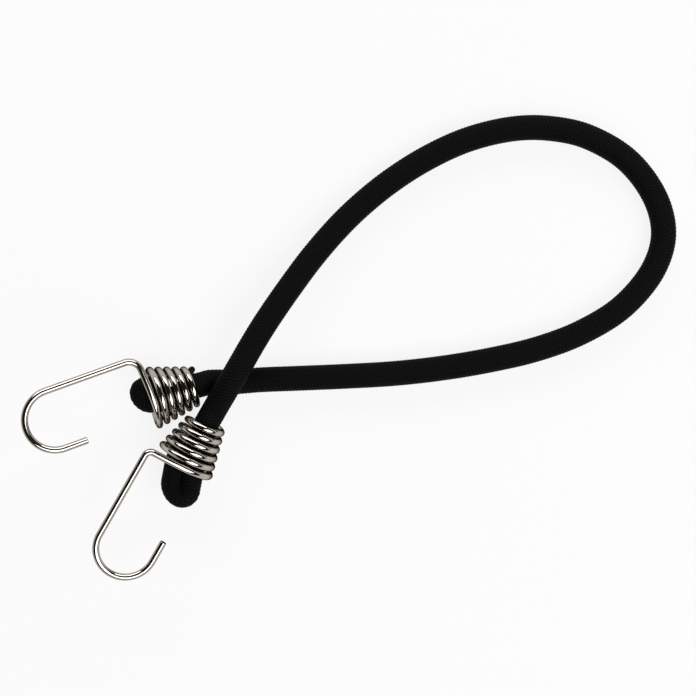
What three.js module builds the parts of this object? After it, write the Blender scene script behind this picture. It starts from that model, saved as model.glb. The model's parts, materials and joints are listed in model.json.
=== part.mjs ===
// Elastic bungee cord with a wound wire hook at each end, lying relaxed in a loose loop.
// Millimetres, +Z up, lying on z = 0. X runs to the right and Y away, as the cord is seen from above.

import * as THREE from 'three';

// Elastic cord
const cordDiameter = 9.5;
const sheathWall = 0.9;
const outerStrands = 6;
const clearance = 0.3; // between pieces that touch

// Wire hook
const wireDiameter = 2.6;
const coilLength = 18.4; // from the cut end of the coil's wire to its widest turn, along the axis
const mouthRoom = 0.45; // between the cord and the coil's narrowest turn
const foldRoom = 2.45; // between the folded cord end and the coil's widest turn
const hookReach = 49.8; // wide end of the coil to the outside of the bend
const throatWidth = 20.1; // clear width inside the hook
const tipLength = 8.7;

// Each hook was bent by hand: its turns, how far the arm that leaves the coil is turned off square to the coil's axis,
// the corner between arm and leg at the middle of the wire, how far the leg lies from the axis and is turned off it
const bends = {
  a: { turns: 5.5, armTurn: 0, cornerRadius: 2.5, legOffset: 16.15, legTurn: 0 },
  b: { turns: 5.75, armTurn: 9, cornerRadius: 5, legOffset: 16.75, legTurn: 5 },
};

// Cord end, doubled back inside the coil
const legSqueeze = 0.77; // width of a squeezed leg, as a share of the cord's
const legFlatten = 0.93; // its height, as a share of the cord's
const legGap = 0.3; // between the two legs
const fanShare = 0.8; // share of the coil over which the cord moves off its axis
const tailShare = 0.9; // share of the room for the tail that it fills

// Where each coil's wide end lies, the way its axis points, how far that end of the hook tips up and how far the hook
// is rolled on the cord; how far the folded end sticks out of the coil, and how far it is moved over where it comes
// out and leans over beyond; in millimetres and degrees
const cordEnds = {
  a: { x: 21.5, y: 1.8, heading: 240, tipUp: -3, roll: -12, stubLength: 16.2, stubShift: 0.5, stubLean: 19 },
  b: { x: 8.7, y: 27, heading: 195, tipUp: 13, roll: -4, stubLength: 7.4, stubShift: -1.2, stubLean: -18 },
};

// Route of the free cord from hook a to hook b: place, and lift above lying flat in cord diameters
const route = [
  [40.7, 34.5, 1.24],
  [51.6, 53.4, 1],
  [61.8, 68.8, 0.65],
  [72.9, 83.8, 0.34],
  [85.4, 97.7, 0.12],
  [99.6, 109.9, 0.02],
  [115.3, 120.1, 0],
  [132.3, 127.8, 0],
  [150.5, 131.9, 0],
  [164.5, 131.8, 0],
  [178.2, 128.7, 0],
  [194.1, 119.2, 0],
  [205.0, 104.1, 0],
  [207.9, 90.4, 0],
  [204.0, 77.1, 0],
  [192.1, 62.6, 0],
  [176.0, 52.5, 0],
  [158.5, 45.9, 0],
  [140.2, 41.6, 0],
  [121.8, 38.5, 0],
  [103.2, 36.4, 0],
  [84.5, 35.3, 0],
  [65.8, 34.5, 0],
  [50.8, 33.9, 0],
  [40.3, 33.1, 0],
];
const leadLength = 4; // straight run of the cord out of each coil

// Fineness of the facets
const cordSides = 12;
const strandSides = 6;
const wireSides = 8;
const cordSteps = 44;
const stepsPerTurn = 14;
const cornerSteps = 4;
const bendSteps = 11;
const foldSteps = 7;
const fanSteps = 6;

// Sizes that follow
const cordRadius = cordDiameter / 2;
const lyingHeight = cordRadius * Math.cos(Math.PI / cordSides);
const sheathBore = cordRadius - sheathWall;
const strandRoom = sheathBore * Math.cos(Math.PI / cordSides);
const strandRadius = (strandRoom - 2 * clearance) / 3;
const strandCircle = 2 * strandRadius + clearance;
const wireRadius = wireDiameter / 2;
const legHalfWidth = legSqueeze * cordRadius;
const foldRadius = legHalfWidth + legGap / 2;
const foldHalfWidth = foldRadius + legHalfWidth;
const narrowRadius = cordRadius + mouthRoom + wireRadius;
const wideRadius = foldHalfWidth + foldRoom + wireRadius;
const coneSlope = (wideRadius - narrowRadius) / coilLength;
const mouth = -(coilLength + wireRadius); // plane where the cord enters the coil's narrow end
const bendRadius = (throatWidth + wireDiameter) / 2;
const bendCentre = hookReach - wireRadius - bendRadius;
const tailInside = (tailShare * (foldRoom - clearance)) / coneSlope;

const braid = { color: 0x16171a, roughness: 0.85, metalness: 0 };
const rubber = { color: 0xc9b48a, roughness: 0.6, metalness: 0 };
const platedSteel = { color: 0xd6d5d0, roughness: 0.22, metalness: 1 };

function piece(name, geometry, finish) {
  const mesh = new THREE.Mesh(geometry, new THREE.MeshStandardMaterial(finish));
  mesh.name = name;
  return mesh;
}

// Regular polygon that turns a flat side to each section axis
function ringOutline(radius, sides, x = 0, y = 0) {
  const outline = [];
  for (let k = 0; k < sides; k++) {
    const angle = ((k + 0.5) / sides) * 2 * Math.PI;
    outline.push([x + radius * Math.cos(angle), y + radius * Math.sin(angle)]);
  }
  return outline;
}

// Direction of a line of points at each point: the mitre between the runs on either side
function mitres(points) {
  return points.map((point, i) => {
    const ahead = new THREE.Vector3();
    if (i > 0) {
      ahead.add(point.clone().sub(points[i - 1]).normalize());
    }
    if (i < points.length - 1) {
      ahead.add(points[i + 1].clone().sub(point).normalize());
    }
    return ahead.normalize();
  });
}

// A section's place and its two axes, square to the way ahead, the first as near as can be to upright
function station(at, ahead, upright, height = 1, width = 1) {
  const first = upright.clone().addScaledVector(ahead, -upright.dot(ahead)).normalize();
  const second = ahead.clone().cross(first);
  return { at, first: first.multiplyScalar(height), second: second.multiplyScalar(width) };
}

// Closed solid through all stations, from an outline and, for a sleeve, the outline of its bore
function sweep(stations, outline, bore) {
  const loops = bore ? [outline, bore] : [outline];
  const sides = outline.length;
  const last = (stations.length - 1) * sides;
  const positions = [];
  const triangles = [];
  const corner = new THREE.Vector3();
  for (const loop of loops) {
    for (const { at, first, second } of stations) {
      for (const [x, y] of loop) {
        corner.copy(at).addScaledVector(first, x).addScaledVector(second, y);
        positions.push(corner.x, corner.y, corner.z);
      }
    }
  }
  const face = (a, b, c, flip) => triangles.push(a, flip ? c : b, flip ? b : c);
  loops.forEach((loop, inside) => {
    const start = inside * (last + sides);
    for (let ring = start; ring < start + last; ring += sides) {
      for (let k = 0; k < sides; k++) {
        const next = (k + 1) % sides;
        face(ring + k, ring + next, ring + sides + next, inside);
        face(ring + k, ring + sides + next, ring + sides + k, inside);
      }
    }
  });
  for (const end of [0, last]) {
    for (let k = 0; k < sides; k++) {
      const next = (k + 1) % sides;
      if (bore) {
        const inner = end + last + sides;
        face(end + k, end + next, inner + next, end === 0);
        face(end + k, inner + next, inner + k, end === 0);
      } else if (k > 0 && k < sides - 1) {
        face(end, end + k, end + next, end === 0);
      }
    }
  }
  const geometry = new THREE.BufferGeometry();
  geometry.setAttribute('position', new THREE.Float32BufferAttribute(positions, 3));
  geometry.setIndex(triangles);
  geometry.computeVertexNormals();
  return geometry;
}

// Braided sheath and the rubber strands inside it, one strand in the middle and the others round it
function cordPieces(stations, sheathName, strandName) {
  const sheath = sweep(stations, ringOutline(cordRadius, cordSides), ringOutline(sheathBore, cordSides));
  const pieces = [piece(sheathName, sheath, braid)];
  for (let k = 0; k <= outerStrands; k++) {
    const angle = (k / outerStrands) * 2 * Math.PI;
    const off = k === 0 ? 0 : strandCircle;
    const outline = ringOutline(strandRadius, strandSides, off * Math.cos(angle), off * Math.sin(angle));
    pieces.push(piece(`${strandName}_${k + 1}`, sweep(stations, outline), rubber));
  }
  return pieces;
}

// Middle of the wire, x along the coil's axis towards the hook: a right-handed cone of turns from the cut end at
// the cord to the widest turn, which leaves the coil along its top, turns into the leg and bends round to the tip
function wireStations({ turns, armTurn, cornerRadius, legOffset, legTurn }) {
  const points = [];
  const upright = [];
  const coilSteps = Math.ceil(turns * stepsPerTurn);
  for (let i = 0; i <= coilSteps; i++) {
    const left = 1 - i / coilSteps;
    const angle = -left * turns * 2 * Math.PI;
    const outward = new THREE.Vector3(0, -Math.sin(angle), Math.cos(angle));
    const along = -left * coilLength;
    points.push(outward.clone().multiplyScalar(wideRadius + coneSlope * along).setX(along));
    upright.push(outward);
  }
  const axis = new THREE.Vector3(0, 0, 1);
  const lie = (x, y, turned) => {
    points.push(new THREE.Vector3(x, y, wideRadius).applyAxisAngle(axis, THREE.MathUtils.degToRad(turned)));
    upright.push(axis);
  };
  const lean = THREE.MathUtils.degToRad(legTurn - armTurn);
  const cornerTurn = Math.PI / 2 + lean;
  const armLength = legOffset / Math.cos(lean) - cornerRadius * Math.tan(cornerTurn / 2);
  for (let i = 0; i <= cornerSteps; i++) {
    const turn = (i / cornerSteps) * cornerTurn;
    lie(cornerRadius * (1 - Math.cos(turn)), -armLength - cornerRadius * Math.sin(turn), armTurn);
  }
  for (let i = 0; i <= bendSteps; i++) {
    const turn = (i / bendSteps) * Math.PI;
    lie(bendCentre + bendRadius * Math.sin(turn), bendRadius * (1 - Math.cos(turn)) - legOffset, legTurn);
  }
  lie(bendCentre - tipLength, 2 * bendRadius - legOffset, legTurn);
  const ahead = mitres(points);
  return { coil: points.slice(0, coilSteps + 1), stations: points.map((at, i) => station(at, ahead[i], upright[i])) };
}

// Least clear gap between one turn of the coil and another, measured on the wire's middle line
function leastTurnGap(coil) {
  let least = Infinity;
  for (let i = 0; i < coil.length; i++) {
    for (let j = i + Math.ceil(stepsPerTurn / 2); j < coil.length; j++) {
      least = Math.min(least, coil[i].distanceTo(coil[j]) - wireDiameter);
    }
  }
  return least;
}

// Middle of the cord's end in the coil: it moves off the axis, leaves the wide end, doubles back and its tail
// ends inside the cone
function foldStations({ stubLength, stubShift, stubLean }) {
  const points = [];
  const squeeze = [];
  const turnAt = stubLength - foldHalfWidth;
  const lean = Math.tan(THREE.MathUtils.degToRad(stubLean));
  const lie = (x, y, squeezed) => {
    const shift = stubShift * THREE.MathUtils.smoothstep(x, -tailInside, 0);
    points.push(new THREE.Vector3(x, y + shift + lean * Math.max(0, x), 0));
    squeeze.push(squeezed);
  };
  const start = mouth + clearance / 2;
  const fanned = -coilLength * (1 - fanShare);
  for (let i = 0; i <= fanSteps; i++) {
    const x = THREE.MathUtils.lerp(start, fanned, i / fanSteps);
    const squeezed = THREE.MathUtils.smoothstep(x, -coilLength, fanned);
    lie(x, foldRadius * squeezed, squeezed);
  }
  for (let i = 0; i <= foldSteps; i++) {
    const turn = (i / foldSteps) * Math.PI;
    lie(turnAt + foldRadius * Math.sin(turn), foldRadius * Math.cos(turn), 1);
  }
  lie(-tailInside, -foldRadius, 1);
  const ahead = mitres(points);
  const upright = new THREE.Vector3(0, 0, 1);
  return points.map((at, i) => {
    const height = THREE.MathUtils.lerp(1, legFlatten, squeeze[i]);
    const width = THREE.MathUtils.lerp(1, legSqueeze, squeeze[i]);
    return station(at, ahead[i], upright, height, width);
  });
}

// A hook with the cord end that it grips, turned to its heading and set down so that the coil touches z = 0
function cordEnd(letter, place) {
  const { coil, stations } = wireStations(bends[letter]);
  const hook = piece(`wire_hook_${letter}`, sweep(stations, ringOutline(wireRadius, wireSides)), platedSteel);
  hook.rotation.x = THREE.MathUtils.degToRad(place.roll);
  const group = new THREE.Group();
  group.add(hook, ...cordPieces(foldStations(place), `sheath_end_${letter}`, `strand_end_${letter}`));
  const tip = -THREE.MathUtils.degToRad(place.tipUp);
  group.rotation.set(0, tip, THREE.MathUtils.degToRad(place.heading), 'ZYX');
  group.position.set(place.x, place.y, 0);
  group.updateMatrixWorld(true);
  group.position.z = -new THREE.Box3().setFromObject(hook, true).min.z;
  group.updateMatrixWorld(true);
  console.log(`coil ${letter}: least gap between turns ${leastTurnGap(coil).toFixed(2)} mm`);
  return group;
}

// Free length of the cord, straight out of both coils and along its route
function freeCordStations(endA, endB) {
  const out = mouth - clearance / 2;
  const leads = [endA, endB].map((end) => [
    end.localToWorld(new THREE.Vector3(out, 0, 0)),
    end.localToWorld(new THREE.Vector3(out - leadLength / 2, 0, 0)),
    end.localToWorld(new THREE.Vector3(out - leadLength, 0, 0)),
  ]);
  const lying = route.map(([x, y, lift]) => new THREE.Vector3(x, y, lyingHeight + lift * cordDiameter));
  const line = new THREE.CatmullRomCurve3([...leads[0], ...lying, ...leads[1].reverse()]);
  const upright = new THREE.Vector3(0, 0, 1);
  return line.getSpacedPoints(cordSteps).map((at, i) => {
    at.setZ(Math.max(at.z, lyingHeight));
    return station(at, line.getTangentAt(i / cordSteps), upright);
  });
}

const bungeeCord = new THREE.Group();
const endA = cordEnd('a', cordEnds.a);
const endB = cordEnd('b', cordEnds.b);
bungeeCord.add(endA, endB);
bungeeCord.add(...cordPieces(freeCordStations(endA, endB), 'braided_sheath', 'rubber_strand'));

export default bungeeCord;
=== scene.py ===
import json
import math

import bmesh
import bpy
from mathutils import Matrix, Vector


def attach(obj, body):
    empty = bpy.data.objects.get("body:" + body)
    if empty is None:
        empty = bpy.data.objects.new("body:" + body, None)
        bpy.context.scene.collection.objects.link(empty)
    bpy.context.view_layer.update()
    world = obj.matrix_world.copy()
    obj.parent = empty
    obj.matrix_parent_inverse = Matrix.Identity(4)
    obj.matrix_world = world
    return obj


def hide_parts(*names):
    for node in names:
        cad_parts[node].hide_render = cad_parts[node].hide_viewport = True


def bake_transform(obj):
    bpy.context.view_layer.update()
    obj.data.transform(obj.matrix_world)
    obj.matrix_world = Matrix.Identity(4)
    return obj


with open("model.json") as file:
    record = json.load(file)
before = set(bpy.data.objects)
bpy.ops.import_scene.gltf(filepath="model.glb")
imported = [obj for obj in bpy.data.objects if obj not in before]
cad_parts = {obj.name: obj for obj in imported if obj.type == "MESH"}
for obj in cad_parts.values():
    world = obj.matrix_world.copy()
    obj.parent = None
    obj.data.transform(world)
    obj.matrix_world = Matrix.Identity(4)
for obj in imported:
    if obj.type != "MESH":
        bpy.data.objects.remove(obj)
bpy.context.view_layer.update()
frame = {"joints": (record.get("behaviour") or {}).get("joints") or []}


# Camera
# The photograph looks straight down on the lying cord from near, so the raised hooks show a little larger
# than the cord.
FRAME_WIDTH = 0.2714  # at the height of the lying cord's middle
VIEW_MIDDLE = (0.0849, 0.0463)
CAMERA_HEIGHT = 0.65
CORD_HEIGHT = 0.00475

camera_data = bpy.data.cameras.new("camera")
camera_data.lens = camera_data.sensor_width * (CAMERA_HEIGHT - CORD_HEIGHT) / FRAME_WIDTH
camera = bpy.data.objects.new("camera", camera_data)
camera.location = (*VIEW_MIDDLE, CAMERA_HEIGHT)
bpy.context.scene.collection.objects.link(camera)
bpy.context.scene.camera = camera


# Braided sheath, free length
# One tube of black polyester yarn, braided two over and two under round the rubber strands. It lies in a
# loose loop from one hook's coil to the other's, and is made in two halves, each stretching to its own hook.
CORD_DIAMETER = 0.0099  # over the tops of the yarns
SHEATH_WALL = 0.0011
CARRIERS = 16  # yarns that wind each way
PICK = 0.00125  # length along the cord from one yarn to the next
RELIEF = 0.00028  # from the top of a yarn to the bottom of the groove beside it
RIDE = 0.38  # share of a yarn's height by which it rises over the others and dives under them
THREADS = 5  # threads side by side in one yarn
THREAD_RELIEF = 0.00006
SHEATH_SIDES = 80
RING_SPACING = 0.00022
BORE_RING_SPACING = 0.003
LEAST_BORE_RINGS = 8
SHARP_EDGE = math.radians(70)  # cut rims stay sharp in the smooth shading
LEAD_LENGTH = 0.004  # straight run of the cord out of each coil
WIRE_DIAMETER = 0.0026
COIL_LENGTH = 0.0184
MOUTH = -(COIL_LENGTH + WIRE_DIAMETER / 2)  # where the cord enters the coil's narrow end, along its axis

# Route of the free cord from hook a to hook b: place, and lift above lying flat in cord diameters
ROUTE = [
    (0.0407, 0.0345, 1.24),
    (0.0516, 0.0534, 1),
    (0.0618, 0.0688, 0.65),
    (0.0729, 0.0838, 0.34),
    (0.0854, 0.0977, 0.12),
    (0.0996, 0.1099, 0.02),
    (0.1153, 0.1201, 0),
    (0.1323, 0.1278, 0),
    (0.1505, 0.1319, 0),
    (0.1645, 0.1318, 0),
    (0.1782, 0.1287, 0),
    (0.1941, 0.1192, 0),
    (0.2050, 0.1041, 0),
    (0.2079, 0.0904, 0),
    (0.2040, 0.0771, 0),
    (0.1921, 0.0626, 0),
    (0.1760, 0.0525, 0),
    (0.1585, 0.0459, 0),
    (0.1402, 0.0416, 0),
    (0.1218, 0.0385, 0),
    (0.1032, 0.0364, 0),
    (0.0845, 0.0353, 0),
    (0.0658, 0.0345, 0),
    (0.0508, 0.0339, 0),
    (0.0403, 0.0331, 0),
]


def coil_frame(letter):
    """Place of a hook's coil: x along its axis towards the hook, from the middle of its wide end, z up."""
    swivel = next(j for j in frame["joints"] if j["name"] == f"swivel_{letter}")
    ahead = Vector(swivel["axis"]).normalized()
    across = Vector((0, 0, 1)).cross(ahead).normalized()
    turn = Matrix((ahead, across, ahead.cross(across))).transposed().to_4x4()
    return Matrix.Translation(swivel["pos_m"]) @ turn


def smooth_line(points, steps=24):
    """Points of a smooth curve through the given ones, which hardly swings wide where they lie close."""
    ends = [2 * points[0] - points[1], *points, 2 * points[-1] - points[-2]]
    line = []
    for p0, p1, p2, p3 in zip(ends, ends[1:], ends[2:], ends[3:]):
        before, here, after = [math.sqrt((q - p).length) for p, q in ((p0, p1), (p1, p2), (p2, p3))]
        leaving = (p1 - p0) / before - (p2 - p0) / (before + here) + (p2 - p1) / here
        arriving = (p2 - p1) / here - (p3 - p1) / (here + after) + (p3 - p2) / after
        for i in range(steps):
            t = i / steps
            line.append(
                p1 * (2 * t**3 - 3 * t**2 + 1)
                + p2 * (3 * t**2 - 2 * t**3)
                + leaving * here * (t**3 - 2 * t**2 + t)
                + arriving * here * (t**3 - t**2)
            )
    return [*line, points[-1]]


def distances(points):
    """How far along the line each point is."""
    along = [0.0]
    for p, q in zip(points, points[1:]):
        along.append(along[-1] + (q - p).length)
    return along


def line_object(name, points, **values):
    """A line of edges with a value of each kind at each point, for a node tree to grow a piece on."""
    mesh = bpy.data.meshes.new(name)
    mesh.from_pydata(points, [(i, i + 1) for i in range(len(points) - 1)], [])
    for key, numbers in values.items():
        mesh.attributes.new(key, "FLOAT", "POINT").data.foreach_set("value", numbers)
    made = bpy.data.objects.new(name, mesh)
    bpy.context.scene.collection.objects.link(made)
    return made


def add(tree, kind, inputs, **settings):
    """Adds a node with its settings; an input is a value, a socket, or a node to take the first output of."""
    node = tree.nodes.new(kind)
    for name, value in settings.items():
        setattr(node, name, value)
    for socket, source in inputs.items():
        if isinstance(source, bpy.types.Node):
            source = source.outputs[0]
        if isinstance(source, bpy.types.NodeSocket):
            tree.links.new(source, node.inputs[socket])
        else:
            node.inputs[socket].default_value = source
    return node


def node_tree(name, **sizes):
    """A geometry tree with named inputs for its sizes, and its input node."""
    tree = bpy.data.node_groups.new(name, "GeometryNodeTree")
    tree.interface.new_socket("Line", in_out="INPUT", socket_type="NodeSocketGeometry")
    for size, value in sizes.items():
        kind = "NodeSocketInt" if isinstance(value, int) else "NodeSocketFloat"
        tree.interface.new_socket(size, in_out="INPUT", socket_type=kind).default_value = value
    tree.interface.new_socket("Piece", in_out="OUTPUT", socket_type="NodeSocketGeometry")
    return tree, add(tree, "NodeGroupInput", {}).outputs


def grow(piece, tree, **sizes):
    """Grows the tree on a line and leaves the plain mesh that comes of it."""
    modifier = piece.modifiers.new(tree.name, "NODES")
    modifier.node_group = tree
    for socket in tree.interface.items_tree:
        if socket.name in sizes:
            modifier[socket.identifier] = sizes[socket.name]
    depsgraph = bpy.context.evaluated_depsgraph_get()
    grown = piece.evaluated_get(depsgraph)
    mesh = bpy.data.meshes.new_from_object(grown, preserve_all_data_layers=True, depsgraph=depsgraph)
    piece.modifiers.remove(modifier)
    piece.data = mesh
    return piece


def linear(colour):
    """The linear colour that a shader takes, from an sRGB hex value."""
    parts = [int(colour[i:i + 2], 16) / 255 for i in (1, 3, 5)]
    return (*[c / 12.92 if c <= 0.04045 else ((c + 0.055) / 1.055) ** 2.4 for c in parts], 1)


def new_material(name):
    """An empty node material."""
    material = bpy.data.materials.new(name)
    material.use_nodes = True
    material.node_tree.nodes.clear()
    return material, material.node_tree


# Polyester yarn, dyed black and braided, with fine threads that run the way the yarn runs. Its colour has
# painted shade in the grooves and a painted sheen along the top of each yarn.
braid, tree = new_material("black_polyester_braid")
lift = add(tree, "ShaderNodeAttribute", {}, attribute_name="yarn_lift").outputs["Fac"]
across = add(tree, "ShaderNodeAttribute", {}, attribute_name="yarn_across").outputs["Fac"]
# The ramp on the yarn's height paints shade into the grooves and a sheen onto the yarn tops.
shade = add(tree, "ShaderNodeValToRGB", {"Fac": lift})
shade.color_ramp.elements[0].position = 0.3
shade.color_ramp.elements[0].color = linear("#040404")
shade.color_ramp.elements[1].color = linear("#161617")
turn = add(tree, "ShaderNodeMath", {0: across, 1: 2 * math.pi * THREADS}, operation="MULTIPLY")
thread = add(tree, "ShaderNodeMath", {0: turn}, operation="COSINE")
bump = add(tree, "ShaderNodeBump", {"Strength": 0.35, "Distance": THREAD_RELIEF, "Height": thread})
surface = add(
    tree,
    "ShaderNodeBsdfPrincipled",
    {
        "Base Color": shade,
        "Roughness": 0.6,
        "Specular IOR Level": 0.03,
        "Normal": bump,
    },
)
add(tree, "ShaderNodeOutputMaterial", {"Surface": surface})


def stored(tree, geometry, kind, **values):
    """Keeps values on the geometry under their names."""
    for name, value in values.items():
        geometry = add(
            tree,
            "GeometryNodeStoreNamedAttribute",
            {"Geometry": geometry, "Name": name, "Value": value},
            data_type=kind,
        )
    return geometry


def round_profile(tree, sizes):
    """A circle of the piece's diameter that keeps each point's share of the way round, and its radius."""
    radius = add(tree, "ShaderNodeMath", {0: sizes["Diameter"], 1: 0.5}, operation="MULTIPLY")
    circle = add(tree, "GeometryNodeCurvePrimitiveCircle", {"Resolution": sizes["Sides"], "Radius": radius})
    share_round = add(tree, "GeometryNodeSplineParameter", {})
    return stored(tree, circle, "FLOAT", around=share_round), radius


def swept(tree, line, rings, profile, caps):
    """Sweeps a profile along the line; gives the mesh, the line at each point, and the squeezed offset."""
    level = add(tree, "GeometryNodeSetCurveNormal", {"Curve": line}, mode="Z_UP")
    spaced = add(tree, "GeometryNodeResampleCurve", {"Curve": level, "Count": rings})
    here = add(tree, "GeometryNodeInputPosition", {})
    facing = add(tree, "GeometryNodeInputNormal", {})
    marked = stored(tree, spaced, "FLOAT_VECTOR", middle=here, side=facing)
    tube = add(
        tree, "GeometryNodeCurveToMesh", {"Curve": marked, "Profile Curve": profile, "Fill Caps": caps}
    )
    middle = add(tree, "GeometryNodeInputNamedAttribute", {"Name": "middle"}, data_type="FLOAT_VECTOR")
    side = add(tree, "GeometryNodeInputNamedAttribute", {"Name": "side"}, data_type="FLOAT_VECTOR")
    width = add(tree, "GeometryNodeInputNamedAttribute", {"Name": "width"})
    height = add(tree, "GeometryNodeInputNamedAttribute", {"Name": "height"})
    offset = add(tree, "ShaderNodeVectorMath", {0: here, 1: middle}, operation="SUBTRACT")
    product = add(tree, "ShaderNodeVectorMath", {0: offset, 1: side}, operation="DOT_PRODUCT")
    sideways = product.outputs["Value"]
    level_part = add(tree, "ShaderNodeVectorMath", {0: side, "Scale": sideways}, operation="SCALE")
    upright_part = add(tree, "ShaderNodeVectorMath", {0: offset, 1: level_part}, operation="SUBTRACT")
    narrowed = add(tree, "ShaderNodeVectorMath", {0: level_part, "Scale": width}, operation="SCALE")
    flattened = add(tree, "ShaderNodeVectorMath", {0: upright_part, "Scale": height}, operation="SCALE")
    squeezed = add(tree, "ShaderNodeVectorMath", {0: narrowed, 1: flattened}, operation="ADD")
    return tube, middle, squeezed


def finished(tree, geometry, material):
    """Ends a tree with its material, without the values that only its making needs."""
    for name in ("middle", "side", "width", "height"):
        geometry = add(tree, "GeometryNodeRemoveAttribute", {"Geometry": geometry, "Name": name})
    real = add(tree, "GeometryNodeRealizeInstances", {"Geometry": geometry})
    painted = add(tree, "GeometryNodeSetMaterial", {"Geometry": real, "Material": material})
    add(tree, "NodeGroupOutput", {"Piece": painted})


# The sheath's outer wall is a tube whose surface rises over each yarn: two families of yarns wind opposite
# ways, and each yarn in turn rides over two of the others and dives under two. The rings are counted for
# each piece.
sheath_tree, sizes = node_tree(
    "braided_sheath",
    Rings=100,
    BoreRings=20,
    Sides=SHEATH_SIDES,
    Diameter=CORD_DIAMETER,
    Wall=SHEATH_WALL,
    Carriers=CARRIERS,
    Pick=PICK,
    Relief=RELIEF,
)
tree = sheath_tree
line = add(tree, "GeometryNodeMeshToCurve", {"Mesh": sizes["Line"]})
circle, radius = round_profile(tree, sizes)
outer, middle, offset = swept(tree, line, sizes["Rings"], circle, False)
around = add(tree, "GeometryNodeInputNamedAttribute", {"Name": "around"})
along = add(tree, "GeometryNodeInputNamedAttribute", {"Name": "along"})
u = add(tree, "ShaderNodeMath", {0: around, 1: sizes["Carriers"]}, operation="MULTIPLY")
v = add(tree, "ShaderNodeMath", {0: along, 1: sizes["Pick"]}, operation="DIVIDE")
families = [
    add(tree, "ShaderNodeMath", {0: u, 1: v}, operation="ADD"),
    add(tree, "ShaderNodeMath", {0: u, 1: v}, operation="SUBTRACT"),
]
yarn_tops = []
yarn_places = []
for own, other, sign in ((families[0], families[1], 1), (families[1], families[0], -1)):
    number = add(tree, "ShaderNodeMath", {0: own}, operation="ROUND")
    place = add(tree, "ShaderNodeMath", {0: own, 1: number}, operation="SUBTRACT")
    bow = add(tree, "ShaderNodeMath", {0: place, 1: math.pi}, operation="MULTIPLY")
    crown = add(tree, "ShaderNodeMath", {0: bow}, operation="COSINE")
    crossing = add(tree, "ShaderNodeMath", {0: other, 1: number}, operation="ADD")
    phase = add(
        tree, "ShaderNodeMath", {0: crossing, 1: math.pi / 2, 2: math.pi / 4}, operation="MULTIPLY_ADD"
    )
    wave = add(tree, "ShaderNodeMath", {0: phase}, operation="SINE")
    ride = add(tree, "ShaderNodeMath", {0: wave, 1: sign * RIDE, 2: 1 - RIDE}, operation="MULTIPLY_ADD")
    yarn_tops.append(add(tree, "ShaderNodeMath", {0: crown, 1: ride}, operation="MULTIPLY"))
    yarn_places.append(place)
top = add(tree, "ShaderNodeMath", {0: yarn_tops[0], 1: yarn_tops[1]}, operation="MAXIMUM")
first_on_top = add(tree, "ShaderNodeMath", {0: yarn_tops[0], 1: yarn_tops[1]}, operation="GREATER_THAN")
place = add(
    tree,
    "GeometryNodeSwitch",
    {"Switch": first_on_top, "False": yarn_places[1], "True": yarn_places[0]},
    input_type="FLOAT",
)
groove = add(tree, "ShaderNodeMath", {0: 1.0, 1: top}, operation="SUBTRACT")
depth = add(tree, "ShaderNodeMath", {0: sizes["Relief"], 1: radius}, operation="DIVIDE")
sunk = add(tree, "ShaderNodeMath", {0: groove, 1: depth}, operation="MULTIPLY")
kept = add(tree, "ShaderNodeMath", {0: 1.0, 1: sunk}, operation="SUBTRACT")
raised = add(tree, "ShaderNodeVectorMath", {0: offset, "Scale": kept}, operation="SCALE")
spot = add(tree, "ShaderNodeVectorMath", {0: middle, 1: raised}, operation="ADD")
outer = stored(tree, outer, "FLOAT", yarn_across=place, yarn_lift=top)
outer = add(tree, "GeometryNodeSetPosition", {"Geometry": outer, "Position": spot})
bore_radius = add(tree, "ShaderNodeMath", {0: radius, 1: sizes["Wall"]}, operation="SUBTRACT")
bore_circle = add(
    tree, "GeometryNodeCurvePrimitiveCircle", {"Resolution": sizes["Sides"], "Radius": bore_radius}
)
bore, middle, offset = swept(tree, line, sizes["BoreRings"], bore_circle, False)
spot = add(tree, "ShaderNodeVectorMath", {0: middle, 1: offset}, operation="ADD")
bore = add(tree, "GeometryNodeSetPosition", {"Geometry": bore, "Position": spot})
bore = add(tree, "GeometryNodeFlipFaces", {"Mesh": bore})
both = add(tree, "GeometryNodeJoinGeometry", {})
tree.links.new(outer.outputs[0], both.inputs[0])
tree.links.new(bore.outputs[0], both.inputs[0])
finished(tree, both, braid)


def smooth(piece):
    """Shades a piece smoothly, apart from its cut ends."""
    piece.data.shade_smooth()
    piece.data.set_sharp_from_angle(angle=SHARP_EDGE)


def braided_piece(name, points, along, width, height, relief=RELIEF):
    """A stretch of the sheath: a braided tube with its bore and the cut rims at both ends."""
    piece = line_object(name, points, along=along, width=width, height=height)
    length = distances(points)[-1]
    grow(
        piece,
        sheath_tree,
        Rings=round(length / RING_SPACING),
        BoreRings=max(LEAST_BORE_RINGS, round(length / BORE_RING_SPACING)),
        Relief=relief,
    )
    work = bmesh.new()
    work.from_mesh(piece.data)
    for end in (points[0], points[-1]):
        rim = [e for e in work.edges if e.is_boundary and (e.verts[0].co - end).length < CORD_DIAMETER]
        bmesh.ops.bridge_loops(work, edges=rim)
    work.to_mesh(piece.data)
    work.free()
    smooth(piece)
    return piece


coils = {letter: coil_frame(letter) for letter in "ab"}
leads = {}
for letter, coil in coils.items():
    leads[letter] = [coil @ Vector((MOUTH - back * LEAD_LENGTH, 0, 0)) for back in (0, 0.5, 1)]
lying = CORD_DIAMETER / 2
route = [Vector((x, y, lying + lift * CORD_DIAMETER)) for x, y, lift in ROUTE]
cord_line = smooth_line([*leads["a"], *route, *reversed(leads["b"])])
for point in cord_line:
    point.z = max(point.z, lying)
cord_along = distances(cord_line)
cord_length = cord_along[-1]

# The far end of the loop stays where it is, and each half of the cord stretches from there to its hook.
turning = max(range(len(cord_line)), key=lambda i: cord_line[i].x)
halves = {"a": slice(0, turning + 1), "b": slice(turning, len(cord_line))}

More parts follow.
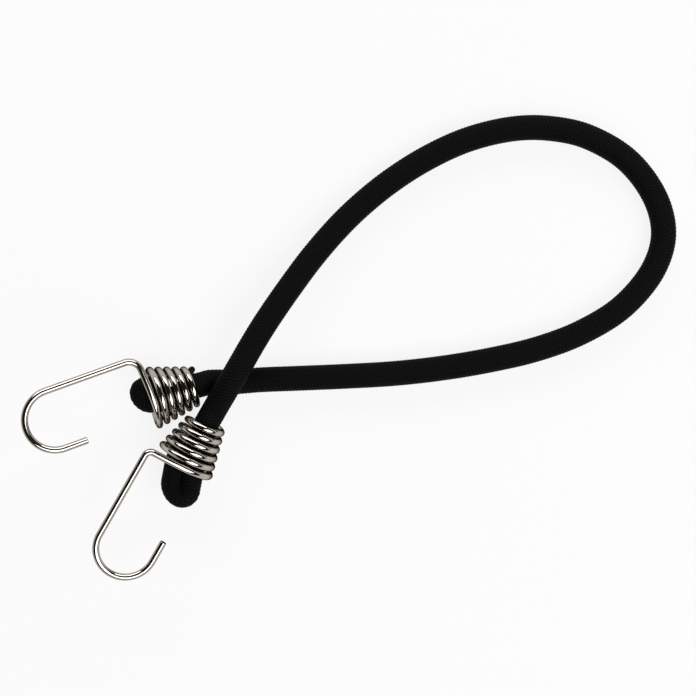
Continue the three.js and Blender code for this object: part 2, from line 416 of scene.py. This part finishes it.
for letter, half in halves.items():
    points = cord_line[half]
    plain = [1.0] * len(points)
    sheath = braided_piece(f"braided_sheath_half_{letter}", points, cord_along[half], plain, plain)
    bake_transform(sheath)
    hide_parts("braided_sheath")


# Rubber strands, free length
# The cord's elastic core: natural latex strands, one in the middle and six round it, which the sheath holds
# together and keeps a little stretched. They run on unbroken into the doubled-back ends.
OUTER_STRANDS = 6
STRAND_DIAMETER = 0.00208
STRAND_CIRCLE = 0.00238
STRAND_SIDES = 10
STRAND_RING_SPACING = 0.0008
CLOUD_SIZE = 0.004

# Natural latex: pale brown, waxy and slightly cloudy, dusted with talc.
latex, tree = new_material("natural_latex")
place = add(tree, "ShaderNodeTexCoord", {}).outputs["Object"]
cloud = add(tree, "ShaderNodeTexNoise", {"Vector": place, "Scale": 1 / CLOUD_SIZE, "Detail": 3.0})
shade = add(tree, "ShaderNodeValToRGB", {"Fac": cloud})
shade.color_ramp.elements[0].position = 0.35
shade.color_ramp.elements[0].color = linear("#b79f74")
shade.color_ramp.elements[1].position = 0.7
shade.color_ramp.elements[1].color = linear("#d2bf98")
surface = add(
    tree,
    "ShaderNodeBsdfPrincipled",
    {"Base Color": shade, "Roughness": 0.6, "Specular IOR Level": 0.35},
)
add(tree, "ShaderNodeOutputMaterial", {"Surface": surface})

strand_tree, sizes = node_tree(
    "rubber_strands",
    Rings=100,
    Outer=OUTER_STRANDS,
    Sides=STRAND_SIDES,
    Diameter=STRAND_DIAMETER,
    Circle=STRAND_CIRCLE,
)
tree = strand_tree
line = add(tree, "GeometryNodeMeshToCurve", {"Mesh": sizes["Line"]})
radius = add(tree, "ShaderNodeMath", {0: sizes["Diameter"], 1: 0.5}, operation="MULTIPLY")
spots = add(tree, "GeometryNodeMeshCircle", {"Vertices": sizes["Outer"], "Radius": sizes["Circle"]})
centre = add(tree, "GeometryNodePoints", {"Count": 1})
both = add(tree, "GeometryNodeJoinGeometry", {"Geometry": spots})
tree.links.new(centre.outputs[0], both.inputs[0])
circle = add(tree, "GeometryNodeCurvePrimitiveCircle", {"Resolution": sizes["Sides"], "Radius": radius})
circles = add(tree, "GeometryNodeInstanceOnPoints", {"Points": both, "Instance": circle})
profile = add(tree, "GeometryNodeRealizeInstances", {"Geometry": circles})
strands, middle, offset = swept(tree, line, sizes["Rings"], profile, True)
spot = add(tree, "ShaderNodeVectorMath", {0: middle, 1: offset}, operation="ADD")
strands = add(tree, "GeometryNodeSetPosition", {"Geometry": strands, "Position": spot})
finished(tree, strands, latex)


def strand_piece(name, points, width, height):
    """A stretch of the rubber strands, cut square at both ends."""
    piece = line_object(name, points, width=width, height=height)
    grow(piece, strand_tree, Rings=round(distances(points)[-1] / STRAND_RING_SPACING))
    smooth(piece)
    return piece


for letter, half in halves.items():
    points = cord_line[half]
    plain = [1.0] * len(points)
    core = strand_piece(f"rubber_strands_half_{letter}", points, plain, plain)
    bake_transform(core)
    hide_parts(*[f"rubber_strand_{k}" for k in range(1, OUTER_STRANDS + 2)])


# Doubled-back cord ends
# Each end of the same sheath and strands goes through its coil, sticks out of the wide end, doubles back on
# itself and jams in the cone. Its two legs press each other flat.
LEG_FLATTEN = 0.93  # height of a squeezed leg, as a share of the cord's
FAN_END = -0.2 * COIL_LENGTH  # where the cord has moved fully off the coil's axis
TAIL_INSIDE = 0.00755  # how far the cut tail reaches back into the coil
LEG_PRESS = 0.8  # share of each leg's width that is left where the legs press each other flat
LEAN_START = 0.002  # half the length over which the stub takes up its lean
STUB_RELIEF = 0.0004  # the yarns stand up more where the cord is folded
FAN_STEPS = 32
LEG_STEPS = 12
FOLD_STEPS = 32
TAIL_STEPS = 16
# Width of a squeezed leg as a share of the cord's, how far the end sticks out of its coil, moves over where
# it comes out, and leans beyond
STUBS = {
    "a": {"leg_squeeze": 0.91, "length": 0.0162, "shift": 0.0005, "lean": math.radians(19)},
    "b": {"leg_squeeze": 0.8, "length": 0.0074, "shift": -0.0012, "lean": math.radians(-18)},
}


def smoothstep(x, low, high):
    """0 up to low, 1 from high on, and a smooth rise between."""
    t = min(max((x - low) / (high - low), 0), 1)
    return t * t * (3 - 2 * t)


def fold_line(leg_squeeze, length, shift, lean):
    """Middle of a doubled-back end from the coil's mouth to the cut tail, with how far it is squeezed."""
    fold_radius = LEG_PRESS * leg_squeeze * CORD_DIAMETER / 2
    turn_at = length - fold_radius - leg_squeeze * CORD_DIAMETER / 2
    places = []
    for i in range(FAN_STEPS + 1):
        x = MOUTH + (FAN_END - MOUTH) * i / FAN_STEPS
        squeezed = smoothstep(x, -COIL_LENGTH, FAN_END)
        places.append((x, fold_radius * squeezed, squeezed))
    for i in range(1, LEG_STEPS):
        places.append((FAN_END + (turn_at - FAN_END) * i / LEG_STEPS, fold_radius, 1))
    for i in range(FOLD_STEPS + 1):
        turn = math.pi * i / FOLD_STEPS
        places.append((turn_at + fold_radius * math.sin(turn), fold_radius * math.cos(turn), 1))
    for i in range(1, TAIL_STEPS + 1):
        places.append((turn_at - (turn_at + TAIL_INSIDE) * i / TAIL_STEPS, -fold_radius, 1))
    points = []
    for x, y, _ in places:
        out = max(x, 0) if abs(x) > LEAN_START else (x + LEAN_START) ** 2 / (4 * LEAN_START)
        over = shift * smoothstep(x, -TAIL_INSIDE, 0)
        points.append(Vector((x, y + over + math.tan(lean) * out, 0)))
    return points, [squeezed for _, _, squeezed in places]


for letter, stub in STUBS.items():
    points, squeeze = fold_line(**stub)
    points = [coils[letter] @ p for p in points]
    from_mouth = distances(points)
    if letter == "a":
        points, squeeze = points[::-1], squeeze[::-1]
        along = [-d for d in reversed(from_mouth)]
    else:
        along = [cord_length + d for d in from_mouth]
    width = [1 - (1 - stub["leg_squeeze"]) * s for s in squeeze]
    height = [1 - (1 - LEG_FLATTEN) * s for s in squeeze]
    sheath = braided_piece(f"braided_sheath_end_{letter}", points, along, width, height, STUB_RELIEF)
    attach(sheath, f"cord_end_{letter}")
    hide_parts(f"sheath_end_{letter}")
    core = strand_piece(f"rubber_strands_end_{letter}", points, width, height)
    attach(core, f"cord_end_{letter}")
    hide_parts(*[f"strand_end_{letter}_{k}" for k in range(1, OUTER_STRANDS + 2)])


# Wire hooks
# Each is one length of bright nickel-plated spring wire, wound into a cone round the doubled-back cord end,
# turned out into a straight leg and bent to a J. Both its ends are sheared off square.
NARROW_RADIUS = 0.0065
WIDE_RADIUS = 0.011215
BEND_RADIUS = 0.01135
BEND_CENTRE = 0.03715
TIP_LENGTH = 0.0087
WIRE_SIDES = 24
STEPS_PER_TURN = 64
ARM_STEPS = 12
CORNER_STEPS = 24
BEND_STEPS = 64
EASED_POINTS = 8  # points either side of the coil's end that are smoothed
EASING_ROUNDS = 20
# Distance from a cut end of the wire, and its size there
EDGE_ROUNDING = [(0, 0.84), (0.00006, 0.92), (0.00015, 0.975), (0.0003, 1)]
DRAWN_LENGTH = 0.02  # length and width of the lines that drawing leaves on the wire, and their depth
DRAWN_WIDTH = 0.00012
DRAWN_DEPTH = 0.000004
BARE_END = 0.00002  # bare steel, painted near-black for shade, up to here from a cut end, and plate from the next on
PLATE_START = 0.0002
ROLLS = {"a": math.radians(-12), "b": math.radians(-4)}  # how far each hook is turned on the cord
# Turns of each hook's coil, how far the arm that leaves it is turned off square to the coil's axis, the
# corner between arm and leg, how far the leg lies from the axis, and how far it is turned off it
BENDS = {
    "a": {
        "turns": 5.5,
        "arm_turn": 0,
        "corner_radius": 0.0025,
        "leg_offset": 0.01615,
        "leg_turn": 0,
    },
    "b": {
        "turns": 5.75,
        "arm_turn": math.radians(9),
        "corner_radius": 0.005,
        "leg_offset": 0.01675,
        "leg_turn": math.radians(5),
    },
}

# Bright nickel plate over drawn wire: mirror-like, with a dark edge tint that paints shade where the wire
# turns away, and faint lines the way the wire was drawn. The sheared ends show dull bare steel, painted
# near-black for the shade on the cut faces.
plate, tree = new_material("bright_nickel_plate")
along = add(tree, "ShaderNodeAttribute", {}, attribute_name="along").outputs["Fac"]
around = add(tree, "ShaderNodeAttribute", {}, attribute_name="around").outputs["Fac"]
from_end = add(tree, "ShaderNodeAttribute", {}, attribute_name="from_end").outputs["Fac"]
run = add(tree, "ShaderNodeMath", {0: along, 1: 1 / DRAWN_LENGTH}, operation="MULTIPLY")
lap = add(tree, "ShaderNodeMath", {0: around, 1: math.pi * WIRE_DIAMETER / DRAWN_WIDTH}, operation="MULTIPLY")
place = add(tree, "ShaderNodeCombineXYZ", {"X": run, "Y": lap})
lines = add(tree, "ShaderNodeTexNoise", {"Vector": place, "Scale": 1.0, "Detail": 2.0}).outputs["Fac"]
bump = add(tree, "ShaderNodeBump", {"Strength": 0.15, "Distance": DRAWN_DEPTH, "Height": lines})
# Towards each cut end the colour turns near-black: dull bare steel with painted shade on the cut faces.
cut = add(
    tree,
    "ShaderNodeMapRange",
    {"Value": from_end, "From Min": BARE_END, "From Max": PLATE_START, "To Min": 1.0, "To Max": 0.0},
).outputs[0]
# A mix node has sockets of the same name for each kind of value, so they are taken by number.
colour = add(tree, "ShaderNodeMix", {0: cut, 6: linear("#b5afa7"), 7: linear("#1c1917")}, data_type="RGBA")
roughness = add(tree, "ShaderNodeMix", {0: cut, 2: 0.08, 3: 0.45}, data_type="FLOAT")
surface = add(
    tree,
    "ShaderNodeBsdfPrincipled",
    {
        "Base Color": colour.outputs[2],
        "Metallic": 1.0,
        "Roughness": roughness.outputs[0],
        # A near-black edge tint paints shade along the wire where it turns away.
        "Specular Tint": linear("#202020"),
        "Normal": bump,
    },
)
add(tree, "ShaderNodeOutputMaterial", {"Surface": surface})

wire_tree, sizes = node_tree("round_wire", Sides=WIRE_SIDES, Diameter=WIRE_DIAMETER)
tree = wire_tree
line = add(tree, "GeometryNodeMeshToCurve", {"Mesh": sizes["Line"]})
circle, _ = round_profile(tree, sizes)
size = add(tree, "GeometryNodeInputNamedAttribute", {"Name": "size"})
wire = add(
    tree,
    "GeometryNodeCurveToMesh",
    {"Curve": line, "Profile Curve": circle, "Scale": size, "Fill Caps": True},
)
finished(tree, wire, plate)


def wire_line(turns, arm_turn, corner_radius, leg_offset, leg_turn):
    """Middle of the wire from the cut end at the cord to the tip, x along the coil's axis to the hook."""
    slope = (WIDE_RADIUS - NARROW_RADIUS) / COIL_LENGTH
    steps = round(turns * STEPS_PER_TURN)
    points = []
    for i in range(steps + 1):
        left = 1 - i / steps
        turn = -left * turns * 2 * math.pi
        reach = WIDE_RADIUS - slope * left * COIL_LENGTH
        points.append(Vector((-left * COIL_LENGTH, -reach * math.sin(turn), reach * math.cos(turn))))
    lean = leg_turn - arm_turn
    corner_turn = math.pi / 2 + lean
    arm_length = leg_offset / math.cos(lean) - corner_radius * math.tan(corner_turn / 2)
    arm = [(0, -arm_length * i / ARM_STEPS) for i in range(1, ARM_STEPS)]
    for i in range(CORNER_STEPS + 1):
        turn = corner_turn * i / CORNER_STEPS
        arm.append((corner_radius * (1 - math.cos(turn)), -arm_length - corner_radius * math.sin(turn)))
    leg = []
    for i in range(BEND_STEPS + 1):
        turn = math.pi * i / BEND_STEPS
        across = BEND_RADIUS * (1 - math.cos(turn)) - leg_offset
        leg.append((BEND_CENTRE + BEND_RADIUS * math.sin(turn), across))
    leg.append((BEND_CENTRE - TIP_LENGTH, 2 * BEND_RADIUS - leg_offset))
    for places, turned in ((arm, arm_turn), (leg, leg_turn)):
        points += [Matrix.Rotation(turned, 3, "Z") @ Vector((x, y, WIDE_RADIUS)) for x, y in places]
    for _ in range(EASING_ROUNDS):
        for i in range(steps - EASED_POINTS, steps + EASED_POINTS + 1):
            points[i] = (points[i - 1] + 2 * points[i] + points[i + 1]) / 4
    first = (points[1] - points[0]).normalized()
    last = (points[-2] - points[-1]).normalized()
    start = [points[0] + first * d for d, _ in EDGE_ROUNDING]
    end = [points[-1] + last * d for d, _ in reversed(EDGE_ROUNDING)]
    return start + points[1:-1] + end


for letter, bend in BENDS.items():
    turned = coils[letter] @ Matrix.Rotation(ROLLS[letter], 4, "X")
    points = [turned @ p for p in wire_line(**bend)]
    along = distances(points)
    rounding = [share for _, share in EDGE_ROUNDING]
    hook = line_object(
        f"wire_hook_{letter}_plated",
        points,
        along=along,
        from_end=[min(d, along[-1] - d) for d in along],
        size=rounding + [1.0] * (len(points) - 2 * len(rounding)) + rounding[::-1],
    )
    grow(hook, wire_tree)
    smooth(hook)
    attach(hook, f"hook_{letter}")
    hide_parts(f"wire_hook_{letter}")


# Floor, light and background
# A sweep of white paper: a floor that keeps the object's soft shadow, and a low wall round it. Two large soft
# lamps light it, a low one up the picture and a higher one down to the right, and the room above is dim,
# which gives the bright wire its dark lines.
FLOOR_RADIUS = 4.0
FLOOR_DROP = 0.0004  # the round wire of the coils dips this far below zero
WALL_HEIGHT = 0.9
WALL_SIDES = 64
PAPER_GLOW = 0.86  # share of the paper that shows as plain white
# Way to the lamp and its height in degrees, its width and height in metres, and its power in watts
LAMPS = [
    (92, 33, 1.6, 0.6, 12.5),
    (-50, 55, 1.4, 0.75, 14.5),
]
LAMP_DISTANCE = 1.2
ROOM = "#27221f"

paper, tree = new_material("white_paper")
ray = add(tree, "ShaderNodeLightPath", {}).outputs
seen = add(tree, "ShaderNodeMath", {0: ray["Is Camera Ray"], 1: ray["Is Glossy Ray"]}, operation="MAXIMUM")
seen = add(tree, "ShaderNodeMath", {0: seen, 1: ray["Is Transmission Ray"]}, operation="MAXIMUM")
share = add(tree, "ShaderNodeMath", {0: seen, 1: PAPER_GLOW}, operation="MULTIPLY")
matt = add(tree, "ShaderNodeBsdfDiffuse", {"Color": linear("#e6e6e6")})
glow = add(tree, "ShaderNodeEmission", {"Color": linear("#ffffff"), "Strength": 1.0})
surface = add(tree, "ShaderNodeMixShader", {0: share, 1: matt, 2: glow})
add(tree, "ShaderNodeOutputMaterial", {"Surface": surface})
turns = [2 * math.pi * i / WALL_SIDES for i in range(WALL_SIDES)]
corners = [
    (FLOOR_RADIUS * math.cos(turn), FLOOR_RADIUS * math.sin(turn), height - FLOOR_DROP)
    for height in (0, WALL_HEIGHT)
    for turn in turns
]
after = [(i + 1) % WALL_SIDES for i in range(WALL_SIDES)]
walls = [(i, WALL_SIDES + i, WALL_SIDES + after[i], after[i]) for i in range(WALL_SIDES)]
sweep_mesh = bpy.data.meshes.new("paper_sweep")
sweep_mesh.from_pydata(corners, [], [tuple(range(WALL_SIDES)), *walls])
sweep_mesh.materials.append(paper)
sweep = bpy.data.objects.new("paper_sweep", sweep_mesh)
bpy.context.scene.collection.objects.link(sweep)

for number, (way, rise, wide, high, power) in enumerate(LAMPS):
    lamp_data = bpy.data.lights.new(f"lamp_{number}", "AREA")
    lamp_data.shape = "RECTANGLE"
    lamp_data.size = wide
    lamp_data.size_y = high
    lamp_data.energy = power
    lamp = bpy.data.objects.new(f"lamp_{number}", lamp_data)
    way, rise = math.radians(way), math.radians(rise)
    away = Vector((math.cos(way) * math.cos(rise), math.sin(way) * math.cos(rise), math.sin(rise)))
    lamp.location = Vector((*VIEW_MIDDLE, 0)) + LAMP_DISTANCE * away
    lamp.rotation_euler = away.to_track_quat("Z", "Y").to_euler()
    bpy.context.scene.collection.objects.link(lamp)

world = bpy.data.worlds.new("dim_room")
world.use_nodes = True
world.node_tree.nodes.clear()
tree = world.node_tree
room = add(tree, "ShaderNodeBackground", {"Color": linear(ROOM), "Strength": 1.0})
add(tree, "ShaderNodeOutputWorld", {"Surface": room})
bpy.context.scene.world = world
bpy.context.scene.view_settings.view_transform = "Standard"
